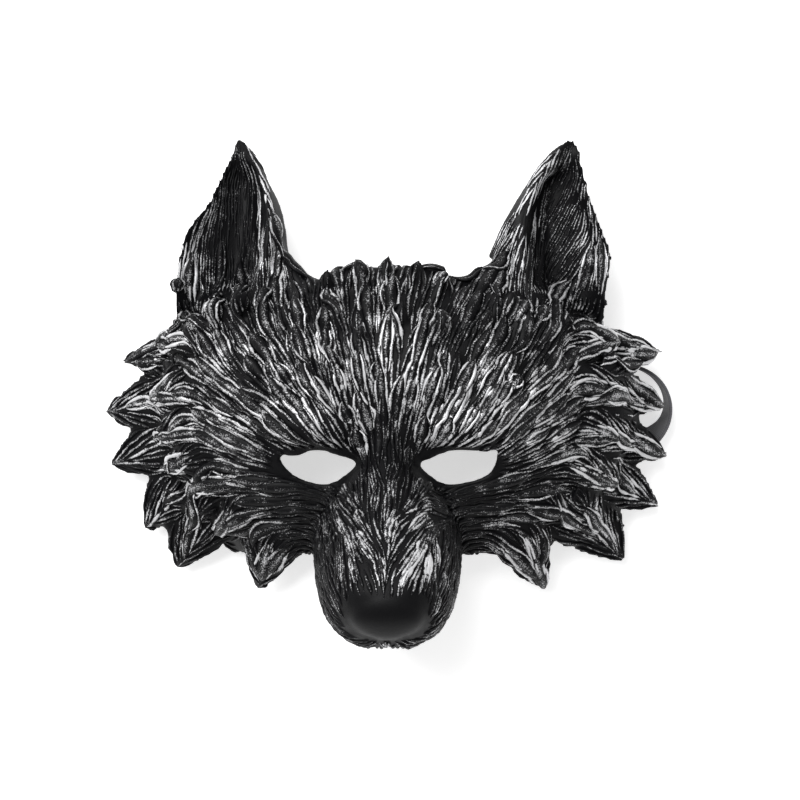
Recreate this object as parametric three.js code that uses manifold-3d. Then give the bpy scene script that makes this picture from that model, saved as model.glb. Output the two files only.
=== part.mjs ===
// A half-face wolf mask: one soft foam moulding with ears, brow, muzzle and a ruff of fur tufts,
// hollow behind, and a flat elastic head strap riveted inside both temples.
// Millimetres. The mask lies on its rim, face up: +X to the viewer's right, +Y to the ear tips, +Z out of the face.
import * as THREE from "three";
import { mergeVertices } from "three/addons/utils/BufferGeometryUtils.js";
import Module from "manifold-3d";

const wasm = await Module();
wasm.setup();

// Driving sizes
const wall = 4;
const faceHalfWidth = 106;
const faceHeight = 76;
const faceLength = 134;
const browShare = 0.565;
const muzzleHalfWidth = 36.5;
const muzzleHeight = 116;
const muzzleLength = 101;
const muzzleStart = 16;
const noseHalfWidth = 18.5;
const noseHalfHeight = 14.5;
const noseHalfDepth = 7;
const noseTilt = 38;
const nostrilRadius = 3.6;
const lipGrooveRadius = 2.2;
const eyeHalfWidth = 19;
const eyeHalfHeight = 7.8;
const eyeSpacing = 63.4;
const eyeDrop = 34.2;
const socketDepth = 7;
const browRadius = 7.5;
const earLength = 89;
const earWidth = 60;
const earSpacing = 146;
const earRootRise = 30;
const earCupDepth = 17;
const tuftReach = 30;
const tuftFlatness = 0.42;
const templeArchLength = 72;
const templeArchHeight = 21;
const templeArchDrop = 1;
const strapWidth = 15;
const strapThickness = 1.4;
const strapReach = 134.7;
const strapEndRise = 36;
const strapEndHeight = 15;
const rivetStemRadius = 2;
const rivetHeadRadius = 4.5;
const rivetHeadThickness = 1.5;
const rivetGrip = 3;
const bossDepth = 9;
const bossLength = 16;
const clearance = 0.3;
const smallestDetail = 0.08;

const foam = { color: 0x1b1b1e, roughness: 0.62, metalness: 0.15 };
const elastic = { color: 0x2e2e31, roughness: 0.85, metalness: 0 };
const plastic = { color: 0x141415, roughness: 0.45, metalness: 0 };

// Sections of the face from the lower cheek edge to the forehead edge: place along the face,
// half width, height of the crown and how square the arch is.
const faceSections = rows("along halfWidth crown squareness", [
  [0.0, 0.7, 0.42, 2.2],
  [0.13, 0.87, 0.64, 2.3],
  [0.29, 0.97, 0.85, 2.4],
  [0.47, 1.0, 0.97, 2.5],
  [0.65, 1.0, 1.0, 2.5],
  [0.83, 0.96, 0.9, 2.4],
  [1.0, 0.86, 0.72, 2.3],
]);

// Sections of the muzzle from between the eyes to the lip: half width, top and lip height.
const muzzleSections = rows("along halfWidth top lip squareness", [
  [0.0, 0.62, 0.58, 0.3, 1.9],
  [0.14, 0.5, 0.675, 0.3, 1.9],
  [0.24, 0.62, 0.735, 0.28, 2.0],
  [0.34, 0.84, 0.79, 0.27, 2.2],
  [0.46, 0.97, 0.86, 0.27, 2.4],
  [0.58, 1.0, 0.925, 0.28, 2.7],
  [0.73, 0.95, 0.98, 0.36, 2.8],
  [0.85, 0.84, 0.94, 0.5, 2.8],
  [0.93, 0.7, 0.87, 0.61, 2.7],
  [0.98, 0.5, 0.8, 0.69, 2.5],
  [1.0, 0.34, 0.765, 0.72, 2.3],
]);

// Sections of each ear from root to tip: outer edge, crest of the fold and inner edge as shares of the
// ear's width from its middle, the height of its mid plane and the depth of its cup.
const earSections = {
  left: rows("along outer fold inner height cup", [
    [0.0, 0.44, -0.2, -0.5, 0.5, 0.9],
    [0.16, 0.43, -0.2, -0.48, 0.56, 1.0],
    [0.3, 0.425, -0.22, -0.47, 0.59, 1.0],
    [0.43, 0.39, -0.25, -0.44, 0.6, 0.95],
    [0.54, 0.32, -0.26, -0.42, 0.59, 0.85],
    [0.66, 0.18, -0.25, -0.375, 0.57, 0.7],
    [0.79, 0.1, -0.2, -0.28, 0.53, 0.5],
    [0.9, 0.025, -0.13, -0.21, 0.49, 0.3],
    [0.97, -0.01, -0.08, -0.13, 0.46, 0.18],
    [1.0, -0.03, -0.055, -0.075, 0.45, 0.08],
  ]),
  right: rows("along outer fold inner height cup", [
    [0.0, 0.47, -0.08, -0.5, 0.5, 0.9],
    [0.16, 0.48, -0.12, -0.49, 0.56, 1.0],
    [0.3, 0.51, -0.14, -0.48, 0.59, 1.0],
    [0.4, 0.525, -0.14, -0.42, 0.6, 0.95],
    [0.54, 0.44, -0.13, -0.33, 0.59, 0.85],
    [0.67, 0.37, -0.1, -0.22, 0.57, 0.7],
    [0.79, 0.33, -0.04, -0.11, 0.53, 0.5],
    [0.9, 0.3, 0.07, 0.0, 0.49, 0.3],
    [0.97, 0.275, 0.16, 0.11, 0.46, 0.18],
    [1.0, 0.25, 0.21, 0.185, 0.45, 0.08],
  ]),
};

// Line of each brow over the face, from beside the muzzle outwards, and how far it stands up or sinks.
const browRoute = rows("along across rise", [
  [0.425, 0.04, -0.75],
  [0.45, 0.1, -0.45],
  [0.46, 0.18, -0.35],
  [0.47, 0.28, -0.5],
  [0.48, 0.38, -1.0],
]);

// Eye openings, round from the inner corner, as shares of the half width and half height.
const eyeOutlines = {
  left: [
    [-1, 0.35], [-0.5, 0.65], [-0.1, 0.95], [0.2, 0.95], [0.45, 0.68], [0.75, 0.65], [0.97, 0.8],
    [0.8, -0.05], [0.45, -0.7], [0, -1], [-0.35, -0.88], [-0.72, -0.3],
  ],
  right: [
    [-1, 0.42], [-0.7, 0.4], [-0.4, 0.75], [0.05, 1], [0.5, 0.9], [0.98, 1.05],
    [0.88, -0.15], [0.55, -0.72], [0, -1], [-0.35, -0.9], [-0.72, -0.3],
  ],
};

// Tufts of each side: where they are rooted along and across the face, how far the tip reaches
// out, up to the ears and off the floor, and their half width. Lengths are shares of the tuft reach.
const tuftColumns = "along across out up lift width";
const outerRuff = {
  left: rows(tuftColumns, [
    [0.7, 0.8, 0.93, -0.10, -0.34, 0.36],
    [0.53, 0.82, 1.13, -0.14, -0.38, 0.42],
    [0.4, 0.82, 1.08, -0.39, -0.38, 0.4],
    [0.255, 0.82, 0.70, -0.79, -0.31, 0.4],
    [0.15, 0.78, 0.44, -0.96, -0.27, 0.4],
    [0.07, 0.42, 0.28, -0.94, -0.58, 0.46],
  ]),
  right: rows(tuftColumns, [
    [0.71, 0.78, 1.07, -0.00, -0.30, 0.42],
    [0.59, 0.8, 1.04, -0.32, -0.30, 0.34],
    [0.44, 0.8, 1.11, -0.43, -0.28, 0.34],
    [0.3, 0.82, 1.06, -0.63, -0.33, 0.38],
    [0.17, 0.8, 0.77, -0.89, -0.25, 0.42],
    [0.09, 0.47, 0.49, -1.00, -0.59, 0.5],
  ]),
};
const innerRuff = {
  left: rows(tuftColumns, [
    [0.76, 0.64, 0.69, -0.12, -0.26, 0.36],
    [0.6, 0.64, 0.69, -0.27, -0.43, 0.36],
    [0.47, 0.63, 0.65, -0.31, -0.44, 0.32],
    [0.37, 0.61, 0.59, -0.34, -0.39, 0.34],
    [0.28, 0.53, 0.44, -0.24, -0.34, 0.28],
    [0.18, 0.46, 0.51, -0.51, -0.48, 0.3],
    [0.22, 0.66, 0.22, -0.49, -0.25, 0.32],
  ]),
  right: rows(tuftColumns, [
    [0.75, 0.6, 0.81, -0.03, -0.32, 0.36],
    [0.61, 0.62, 0.76, -0.27, -0.42, 0.34],
    [0.47, 0.64, 0.78, -0.38, -0.44, 0.34],
    [0.33, 0.6, 0.75, -0.42, -0.40, 0.34],
    [0.2, 0.48, 0.56, -0.37, -0.44, 0.3],
    [0.23, 0.68, 0.43, -0.64, -0.29, 0.32],
  ]),
};
const crownTufts = {
  left: rows(tuftColumns, [
    [0.92, 0.16, 0.04, 0.47, -0.02, 0.14],
    [0.92, 0.07, 0.02, 0.46, -0.02, 0.13],
    [0.78, 0.24, 0.14, 0.5, 0.06, 0.17],
    [0.78, 0.14, 0.1, 0.48, 0.06, 0.16],
    [0.7, 0.06, 0.06, 0.5, 0.06, 0.15],
    [0.55, 0.15, 0.2, 0.75, 0.12, 0.18],
    [0.52, 0.3, 0.4, 0.5, 0.1, 0.2],
  ]),
  right: rows(tuftColumns, [
    [0.92, 0.0, 0.02, 0.5, -0.02, 0.13],
    [0.92, 0.07, 0.02, 0.46, -0.02, 0.13],
    [0.92, 0.14, 0.06, 0.4, -0.02, 0.14],
    [0.79, 0.02, 0.03, 0.5, 0.06, 0.15],
    [0.74, 0.1, 0.1, 0.5, 0.06, 0.16],
    [0.76, 0.22, 0.16, 0.46, 0.06, 0.16],
    [0.53, 0.12, 0.16, 0.75, 0.12, 0.2],
    [0.52, 0.28, 0.36, 0.55, 0.1, 0.2],
  ]),
};
const earRootTufts = {
  left: rows(tuftColumns, [
    [0.83, 0.42, 0.06, 0.42, 0.12, 0.2],
    [0.81, 0.5, 0.1, 0.36, 0.1, 0.22],
    [0.76, 0.58, 0.25, 0.4, 0.02, 0.26],
  ]),
  right: rows(tuftColumns, [
    [0.82, 0.33, 0.06, 0.5, 0.12, 0.22],
    [0.77, 0.42, 0.1, 0.45, 0.12, 0.22],
    [0.76, 0.52, 0.14, 0.42, 0.08, 0.22],
    [0.75, 0.6, 0.2, 0.4, 0.0, 0.22],
  ]),
};

// Route of the strap's middle line from the right rivet to the left one: its place across between the
// rivets (-1 to 1), how far it stands out beyond the right one as a share of the strap's reach, its place
// along as a share of the face length, how much of the way up to the rivet it is, and its lean from
// standing on edge (0) to lying flat (90).
const strapRoute = rows("across beyond along rise lean", [
  [1, 0, 0, 1, 0],
  [1, 0, -0.041, 0.95, 0],
  [1, 0, -0.082, 0.75, 0],
  [1, 0.122, -0.122, 0.3, 0],
  [1, 0.354, -0.153, 0, 0],
  [1, 0.585, -0.166, 0, 0],
  [1, 0.796, -0.187, 0, 0],
  [1, 0.943, -0.239, 0, 2],
  [1, 1, -0.306, 0, 5],
  [1, 0.954, -0.373, 0, 14],
  [1, 0.817, -0.425, 0, 34],
  [1, 0.585, -0.451, 0, 60],
  [1, 0.312, -0.455, 0, 82],
  [1, 0, -0.437, 0, 90],
  [0.631, 0, -0.373, 0, 90],
  [0, 0, -0.336, 0, 90],
  [-0.573, 0, -0.328, 0, 90],
  [-0.837, 0, -0.306, 0, 82],
  [-0.952, 0, -0.246, 0, 55],
  [-0.993, 0, -0.172, 0.3, 18],
  [-1, 0, -0.082, 0.75, 0],
  [-1, 0, -0.041, 0.95, 0],
  [-1, 0, 0, 1, 0],
]);

// Rows of a table as objects with the named columns.
function rows(columns, table) {
  const names = columns.split(" ");
  return table.map((row) => Object.fromEntries(names.map((name, i) => [name, row[i]])));
}

// A column's value between rows, on a smooth curve through them.
function valueAt(table, name, along) {
  const last = table.length - 2;
  let i = table.findIndex((row, n) => n > 0 && along <= row.along) - 1;
  if (i < 0) i = last;
  const slopeAt = (n) => {
    const before = table[Math.max(n - 1, 0)];
    const after = table[Math.min(n + 1, table.length - 1)];
    return (after[name] - before[name]) / (after.along - before.along);
  };
  const [low, high] = [table[i], table[i + 1]];
  const span = high.along - low.along;
  const t = (along - low.along) / span;
  return (
    low[name] * (1 + 2 * t) * (1 - t) ** 2 +
    high[name] * t * t * (3 - 2 * t) +
    span * t * (1 - t) * (slopeAt(i) * (1 - t) - slopeAt(i + 1) * t)
  );
}

// A closed three.js geometry as a solid, turned to face outwards.
function solidOf(geometry) {
  const bare = geometry.clone();
  bare.deleteAttribute("normal");
  bare.deleteAttribute("uv");
  const merged = mergeVertices(bare, 1e-4);
  const triVerts = new Uint32Array(merged.index.array);
  const vertProperties = merged.attributes.position.array;
  const solid = new wasm.Manifold(new wasm.Mesh({ numProp: 3, vertProperties, triVerts }));
  if (solid.volume() > 0) return solid;
  triVerts.reverse();
  return new wasm.Manifold(new wasm.Mesh({ numProp: 3, vertProperties, triVerts }));
}

// A solid as a three.js mesh.
function meshOf(solid, name, finish) {
  const { vertProperties, triVerts } = solid.getMesh();
  const geometry = new THREE.BufferGeometry();
  geometry.setAttribute("position", new THREE.BufferAttribute(vertProperties, 3));
  geometry.setIndex(new THREE.BufferAttribute(triVerts, 1));
  geometry.computeVertexNormals();
  const mesh = new THREE.Mesh(geometry, new THREE.MeshStandardMaterial(finish));
  mesh.name = name;
  return mesh;
}

// A loft through rings that all have as many points. A ring runs out along one side and back along
// the other, so that each end is closed by a strip between the two sides.
function loft(rings) {
  const around = rings[0].length;
  const index = [];
  for (let r = 0; r < rings.length - 1; r++) {
    for (let i = 0; i < around; i++) {
      const next = (i + 1) % around;
      const [a, b] = [r * around + i, r * around + next];
      index.push(a, b, b + around, a, b + around, a + around);
    }
  }
  const closeEnd = (start, flipped) => {
    for (let i = 0; i < around / 2 - 1; i++) {
      const [a, b] = [start + i, start + i + 1];
      const [d, c] = [start + around - 1 - i, start + around - 2 - i];
      if (flipped) index.push(a, b, c, a, c, d);
      else index.push(a, c, b, a, d, c);
    }
  };
  closeEnd(0, false);
  closeEnd((rings.length - 1) * around, true);
  const geometry = new THREE.BufferGeometry().setFromPoints(rings.flat());
  geometry.setIndex(index);
  return solidOf(geometry);
}

// An ellipsoid with its middle at a point, turned about the X axis.
function ellipsoid(centre, radii, tilt = 0, sides = 20) {
  const geometry = new THREE.SphereGeometry(1, sides, Math.round(sides * 0.6));
  geometry.scale(...radii);
  geometry.rotateX(THREE.MathUtils.degToRad(tilt));
  geometry.translate(centre.x, centre.y, centre.z);
  return solidOf(geometry);
}

function block(low, high) {
  const size = new THREE.Vector3().subVectors(high, low);
  const middle = new THREE.Vector3().addVectors(low, high).multiplyScalar(0.5);
  const geometry = new THREE.BoxGeometry(size.x, size.y, size.z);
  return solidOf(geometry.translate(middle.x, middle.y, middle.z));
}

const spread = (low, high, count) =>
  Array.from({ length: count }, (_, i) => low + ((high - low) * i) / (count - 1));

// A closed arch in the plane of one section: over the crown from side to side, back along the bottom.
function archRing(y, halfWidth, top, base, squareness, bottom, count) {
  const over = spread(-1, 1, count).map((across) => {
    const angle = (across * Math.PI) / 2;
    const out = Math.sign(across) * Math.abs(Math.sin(angle)) ** (2 / squareness);
    const up = Math.abs(Math.cos(angle)) ** (2 / squareness);
    return new THREE.Vector3(halfWidth * out, y, base + (top - base) * up);
  });
  const back = over.map((p) => new THREE.Vector3(p.x, y, bottom)).reverse();
  return [...over, ...back];
}

const faceY = (along) => (along - browShare) * faceLength;

// A point of the face's outer skin: along 0 to 1 from the cheek edge to the forehead edge, across -1 to 1.
function facePoint(along, across, inset = 0) {
  const angle = (across * Math.PI) / 2;
  const power = 2 / valueAt(faceSections, "squareness", along);
  const halfWidth = valueAt(faceSections, "halfWidth", along) * faceHalfWidth - inset;
  const crown = valueAt(faceSections, "crown", along) * faceHeight - inset;
  return new THREE.Vector3(
    halfWidth * Math.sign(across) * Math.abs(Math.sin(angle)) ** power,
    faceY(along),
    crown * Math.abs(Math.cos(angle)) ** power,
  );
}

function faceNormal(along, across) {
  const step = 0.01;
  const alongFace = facePoint(along + step, across).sub(facePoint(along - step, across));
  const acrossFace = facePoint(along, across + step).sub(facePoint(along, across - step));
  return acrossFace.cross(alongFace).normalize();
}

// The face's arch as a solid, inset all round, running past its two ends by overrun.
function faceBody(inset, overrun) {
  const stations = 13;
  const archPoints = inset > 0 ? 19 : 25;
  const bottom = inset > 0 ? -3 * wall : -wall;
  const ringAt = (along, beyond) => {
    const read = (name) => valueAt(faceSections, name, along);
    const halfWidth = read("halfWidth") * faceHalfWidth - inset;
    const crown = read("crown") * faceHeight - inset;
    return archRing(faceY(along) + beyond, halfWidth, crown, 0, read("squareness"), bottom, archPoints);
  };
  const rings = spread(0, 1, stations).map((along) => ringAt(along, 0));
  if (overrun > 0) {
    rings.unshift(ringAt(0, -overrun));
    rings.push(ringAt(1, overrun));
  }
  return loft(rings);
}

// The muzzle as a solid. Inset, it opens downwards and stops short of the lip.
function muzzleBody(inset) {
  const stations = 19;
  const archPoints = inset > 0 ? 11 : 21;
  const end = inset > 0 ? 0.955 : 1;
  const rings = spread(0, end, stations).map((along) => {
    const read = (name) => valueAt(muzzleSections, name, along);
    const y = -muzzleStart - along * muzzleLength;
    const halfWidth = Math.max(read("halfWidth") * muzzleHalfWidth - inset, 1);
    const top = read("top") * muzzleHeight - inset;
    const lip = read("lip") * muzzleHeight;
    const base = Math.min(lip, top - 1);
    const bottom = inset > 0 ? Math.min(base - 2 * wall, -2 * wall) : base - 1;
    return archRing(y, halfWidth, top, base, read("squareness"), bottom, archPoints);
  });
  return loft(rings);
}

// One brow: a broad ridge that rises from beside the muzzle and runs out over the eye.
function brow(side) {
  const line = new THREE.CatmullRomCurve3(
    browRoute.map(({ along, across, rise }) =>
      facePoint(along, side * across).addScaledVector(faceNormal(along, side * across), rise * browRadius),
    ),
  );
  const sides = 12;
  const rings = spread(0, 1, 9).map((t) => {
    const middle = line.getPoint(t);
    const radius = browRadius * (0.5 + 0.5 * Math.sin(Math.PI * (0.08 + 0.84 * t)));
    return spread(0, 1, sides + 1).slice(0, sides).map((turn) => {
      const angle = turn * 2 * Math.PI + Math.PI / sides;
      const y = middle.y + 1.5 * radius * Math.cos(angle);
      return new THREE.Vector3(middle.x, y, middle.z + radius * Math.sin(angle));
    });
  });
  return loft(rings);
}

// The hollow round one eye, grown by the wall for the inside of the face.
function eyeSocket(side, grow) {
  const height = valueAt(faceSections, "crown", 0.33) * faceHeight;
  const centre = new THREE.Vector3((side * eyeSpacing) / 2, -eyeDrop - 2, height - 3 + 2 * socketDepth);
  const radii = [eyeHalfWidth + 7, eyeHalfHeight + 6, 2 * socketDepth];
  return ellipsoid(centre, radii.map((r) => r + grow));
}

// The cutter that opens one eye right through the wall.
function eyeCutter(side, outline) {
  const corners = outline.map(
    ([x, y]) => new THREE.Vector2(side * (eyeSpacing / 2 + x * eyeHalfWidth), y * eyeHalfHeight - eyeDrop),
  );
  const shape = new THREE.Shape(new THREE.SplineCurve([...corners, corners[0]]).getPoints(30).slice(0, -1));
  const geometry = new THREE.ExtrudeGeometry(shape, { depth: muzzleHeight, bevelEnabled: false });
  return solidOf(geometry.translate(0, 0, 2 * wall));
}

// One ear: a foam leaf cupped to the front, with a thick rolled fold on its inner side.
function ear(side, sections) {
  const leafPoints = 11;
  const rings = spread(0, 1, 17).map((along) => {
    const read = (name) => valueAt(sections, name, along);
    const x = (share) => side * (earSpacing / 2 + share * earWidth);
    const middle = read("height") * faceHeight;
    const cup = read("cup") * earCupDepth;
    const [outer, fold, inner] = [read("outer"), read("fold"), read("inner")];
    const front = new THREE.SplineCurve([
      new THREE.Vector2(x(outer), middle),
      new THREE.Vector2(x(outer * 0.75 + fold * 0.25), middle - 0.55 * cup),
      new THREE.Vector2(x(outer * 0.3 + fold * 0.7), middle - 0.5 * cup),
      new THREE.Vector2(x(fold), middle + 0.5 * cup),
      new THREE.Vector2(x(inner), middle - 0.35 * cup),
    ]).getPoints(leafPoints - 1);
    const leaf = wall * Math.min(1, 0.35 + 2 * (1 - along));
    const y = earRootRise + along * earLength;
    const facing = front.map((p) => new THREE.Vector3(p.x, y, p.y));
    const behind = front.map((p, i) => {
      const place = i / (leafPoints - 1);
      const filled = 0.75 * cup * Math.exp(-(((place - 0.76) / 0.16) ** 2));
      return new THREE.Vector3(p.x, y, p.y - leaf * (0.55 + 0.45 * Math.sin(Math.PI * place)) - filled);
    });
    return [...facing, ...behind.reverse()];
  });
  return loft(rings);
}

// One tuft of fur: a flattened horn that leaves the skin, bulges and comes to a blunt tip.
function tuft(side, { along, across, out, up, lift, width }) {
  const sides = 8;
  const root = facePoint(along, side * across, wall * 0.6);
  const normal = faceNormal(along, side * across);
  const offset = new THREE.Vector3(side * out, up, lift).multiplyScalar(tuftReach);
  const tip = root.clone().add(offset);
  const bulge = root.clone().addScaledVector(offset, 0.45).addScaledVector(normal, 0.16 * tuftReach);
  const line = new THREE.QuadraticBezierCurve3(root, bulge, tip);
  const rings = [-0.12, 0.3, 0.6, 0.84, 1].map((t) => {
    const middle = t < 0 ? root.clone().addScaledVector(offset, t) : line.getPoint(t);
    const ahead = line.getTangent(Math.max(t, 0));
    const sideways = new THREE.Vector3().crossVectors(ahead, normal).normalize();
    const upwards = new THREE.Vector3().crossVectors(sideways, ahead).normalize();
    const taper = t < 0 ? 1 : 1 - t ** 1.4 + 0.06;
    return spread(0, 1, sides + 1).slice(0, sides).map((turn) => {
      const angle = turn * 2 * Math.PI + Math.PI / sides;
      return middle
        .clone()
        .addScaledVector(sideways, width * tuftReach * taper * Math.cos(angle))
        .addScaledVector(upwards, width * tuftReach * tuftFlatness * taper * Math.sin(angle));
    });
  });
  return loft(rings);
}

function tuftsOf(tables) {
  const left = tables.left.map((row) => tuft(-1, row));
  const right = tables.right.map((row) => tuft(1, row));
  return [...left, ...right];
}

// Where the strap's ends lie: against the flat of a boss inside each temple.
const strapEndY = strapEndRise;
const bossFlatX = faceHalfWidth * 0.955 - wall - bossDepth;

// The moulded boss inside one temple, with a flat that faces the wearer's head.
function strapBoss(side) {
  const half = bossLength / 2;
  const low = new THREE.Vector3(bossFlatX, strapEndY - half, strapEndHeight - half);
  const high = new THREE.Vector3(bossFlatX + bossDepth, strapEndY + half, strapEndHeight + half);
  if (side > 0) return block(low, high);
  return block(new THREE.Vector3(-high.x, low.y, low.z), new THREE.Vector3(-low.x, high.y, high.z));
}

// A short cylinder along X, reaching from one x to another.
function pin(side, fromX, toX, radius, sides = 20) {
  const geometry = new THREE.CylinderGeometry(radius, radius, toX - fromX, sides);
  geometry.rotateZ(Math.PI / 2);
  geometry.translate((side * (fromX + toX)) / 2, strapEndY, strapEndHeight);
  return solidOf(geometry);
}

const strapFaceX = bossFlatX - clearance;
const strapInnerX = strapFaceX - strapThickness;
const rivetHeadX = strapInnerX - clearance;

function rivet(side) {
  const head = pin(side, rivetHeadX - rivetHeadThickness, rivetHeadX, rivetHeadRadius);
  const stem = pin(side, rivetHeadX - rivetHeadThickness / 2, bossFlatX + rivetGrip, rivetStemRadius);
  return head.add(stem);
}

// The strap: a flat band that stands against the temples, comes out under the right ruff and lies flat behind.
function strap() {
  const middleX = strapInnerX + strapThickness / 2;
  const points = strapRoute.map(({ across, beyond, along }) => {
    const x = across * middleX + beyond * (strapReach - middleX);
    return new THREE.Vector3(x, strapEndY + along * faceLength, 0);
  });
  const line = new THREE.CatmullRomCurve3(points, false, "centripetal");
  const endOverhang = rivetHeadRadius + 3;
  const rings = spread(0, 1, 61).map((t) => {
    const place = t * (strapRoute.length - 1);
    const i = Math.min(Math.floor(place), strapRoute.length - 2);
    const read = (name) => THREE.MathUtils.lerp(strapRoute[i][name], strapRoute[i + 1][name], place - i);
    const tilt = THREE.MathUtils.degToRad(read("lean"));
    const resting = (strapWidth * Math.cos(tilt) + strapThickness * Math.sin(tilt)) / 2;
    const middle = line.getPoint(t);
    middle.z = resting + read("rise") * (strapEndHeight - strapWidth / 2);
    const ahead = line.getTangent(t).normalize();
    if (t === 0) middle.addScaledVector(ahead, -endOverhang);
    if (t === 1) middle.addScaledVector(ahead, endOverhang);
    const sideways = new THREE.Vector3(-ahead.y, ahead.x, 0);
    const across = new THREE.Vector3(0, 0, Math.cos(tilt)).addScaledVector(sideways, Math.sin(tilt));
    const face = new THREE.Vector3().crossVectors(ahead, across);
    const corner = (a, b) =>
      middle
        .clone()
        .addScaledVector(across, (a * strapWidth) / 2)
        .addScaledVector(face, (b * strapThickness) / 2);
    return [corner(-1, -1), corner(1, -1), corner(1, 1), corner(-1, 1)];
  });
  const band = loft(rings);
  const holeRadius = rivetStemRadius + clearance;
  const holes = [-1, 1].map((side) => pin(side, rivetHeadX - wall, bossFlatX + wall, holeRadius));
  return band.subtract(holes[0]).subtract(holes[1]);
}

// The foam moulding: the outer forms less the hollow, then tufts, ears and nose, then what is cut away.
function maskShell() {
  const sockets = (grow) => eyeSocket(-1, grow).add(eyeSocket(1, grow));
  const outer = faceBody(0, 0).subtract(sockets(0)).add(muzzleBody(0)).add(brow(-1)).add(brow(1));
  const hollow = faceBody(wall, wall).subtract(sockets(wall)).add(muzzleBody(wall));
  const far = 3 * faceHalfWidth;
  const noseY = -muzzleStart - 0.84 * muzzleLength;
  const nose = ellipsoid(
    new THREE.Vector3(0, noseY, muzzleHeight * 0.895),
    [noseHalfWidth, noseHalfHeight, noseHalfDepth],
    noseTilt,
  );
  const arch = new THREE.CylinderGeometry(1, 1, far, 32)
    .rotateZ(Math.PI / 2)
    .scale(1, templeArchLength / 2, templeArchHeight)
    .translate(0, -templeArchDrop, 0);
  const belowFloor = block(new THREE.Vector3(-far, -far, -far), new THREE.Vector3(far, far, 0));
  const bare = outer.add(nose).subtract(hollow).subtract(solidOf(arch));
  const grown = [
    ear(-1, earSections.left),
    ear(1, earSections.right),
    ...tuftsOf(outerRuff),
    ...tuftsOf(innerRuff),
    ...tuftsOf(crownTufts),
    ...tuftsOf(earRootTufts),
  ];
  let shell = grown.reduce((whole, piece) => whole.add(piece), bare).subtract(hollow);
  shell = shell.add(strapBoss(-1)).add(strapBoss(1));
  const lipY = -muzzleStart - muzzleLength;
  const lipGroove = new THREE.CylinderGeometry(lipGrooveRadius, lipGrooveRadius, 0.5 * muzzleHeight, 12)
    .rotateX(Math.PI / 2)
    .translate(0, lipY - lipGrooveRadius * 0.3, 0.7 * muzzleHeight);
  const nostril = (side) =>
    ellipsoid(
      new THREE.Vector3(side * noseHalfWidth * 0.5, noseY - 0.85 * noseHalfHeight, muzzleHeight * 0.86),
      [nostrilRadius, nostrilRadius * 0.7, nostrilRadius],
      0,
      12,
    );
  const holeRadius = rivetStemRadius + clearance;
  const cut = [
    eyeCutter(-1, eyeOutlines.left),
    eyeCutter(1, eyeOutlines.right),
    solidOf(lipGroove),
    nostril(-1),
    nostril(1),
    pin(-1, rivetHeadX, bossFlatX + rivetGrip + clearance, holeRadius),
    pin(1, rivetHeadX, bossFlatX + rivetGrip + clearance, holeRadius),
    belowFloor,
  ];
  for (const piece of cut) shell = shell.subtract(piece);
  return shell.asOriginal().simplify(smallestDetail);
}

const mask = new THREE.Group();
mask.add(meshOf(maskShell(), "mask_shell", foam));
mask.add(meshOf(strap(), "head_strap", elastic));
mask.add(meshOf(rivet(-1), "strap_rivet_left", plastic));
mask.add(meshOf(rivet(1), "strap_rivet_right", plastic));

// The origin is on the floor under the middle of the whole mask.
const bounds = new THREE.Box3().setFromObject(mask);
const middle = bounds.getCenter(new THREE.Vector3());
mask.position.set(-middle.x, -middle.y, -bounds.min.z);

export default mask;
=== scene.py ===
import math
import random

import bpy
import numpy as np
from mathutils import Matrix, Vector
from mathutils.bvhtree import BVHTree


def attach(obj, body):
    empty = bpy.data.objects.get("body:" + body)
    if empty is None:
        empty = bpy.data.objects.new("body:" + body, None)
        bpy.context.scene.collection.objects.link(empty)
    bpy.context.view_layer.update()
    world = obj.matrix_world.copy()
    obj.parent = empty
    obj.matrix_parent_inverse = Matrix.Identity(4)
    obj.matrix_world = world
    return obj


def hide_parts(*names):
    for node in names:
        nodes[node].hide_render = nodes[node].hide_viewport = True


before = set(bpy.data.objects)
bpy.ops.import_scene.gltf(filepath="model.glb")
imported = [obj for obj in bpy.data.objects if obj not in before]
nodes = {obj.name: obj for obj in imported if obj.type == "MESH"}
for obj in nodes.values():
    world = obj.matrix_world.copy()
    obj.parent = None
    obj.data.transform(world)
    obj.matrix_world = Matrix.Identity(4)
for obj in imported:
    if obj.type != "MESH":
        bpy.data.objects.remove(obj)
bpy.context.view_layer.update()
mm = 0.001
dice = random.Random(7)


def linear(hexColour):
    # sRGB hex to linear RGBA
    parts = [int(hexColour[i:i + 2], 16) / 255 for i in (1, 3, 5)]
    return [c / 12.92 if c <= 0.04045 else ((c + 0.055) / 1.055) ** 2.4 for c in parts] + [1.0]


def addNode(tree, kind, settings=None, **links):
    # one node with its settings; each input takes a socket or a plain value, i0, i1 and so on by number
    node = tree.nodes.new(kind)
    for name, value in (settings or {}).items():
        setattr(node, name, value)
    for name, value in links.items():
        key = int(name[1:]) if name[0] == "i" and name[1:].isdigit() else name.replace("_", " ")
        if isinstance(value, bpy.types.NodeSocket):
            tree.links.new(value, node.inputs[key])
        else:
            node.inputs[key].default_value = value
    return node


def blankMaterial(name):
    material = bpy.data.materials.new(name)
    material.use_nodes = True
    tree = material.node_tree
    return material, tree, tree.nodes["Principled BSDF"]


def linkObject(name, mesh):
    made = bpy.data.objects.new(name, mesh)
    bpy.context.scene.collection.objects.link(made)
    return made


def evaluatedMesh(source, name):
    # the object's mesh with its modifiers applied
    graph = bpy.context.evaluated_depsgraph_get()
    mesh = bpy.data.meshes.new_from_object(source.evaluated_get(graph), depsgraph=graph)
    mesh.name = name
    return mesh


def smoothStep(low, high, value):
    t = min(max((value - low) / (high - low), 0), 1)
    return t * t * (3 - 2 * t)


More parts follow.
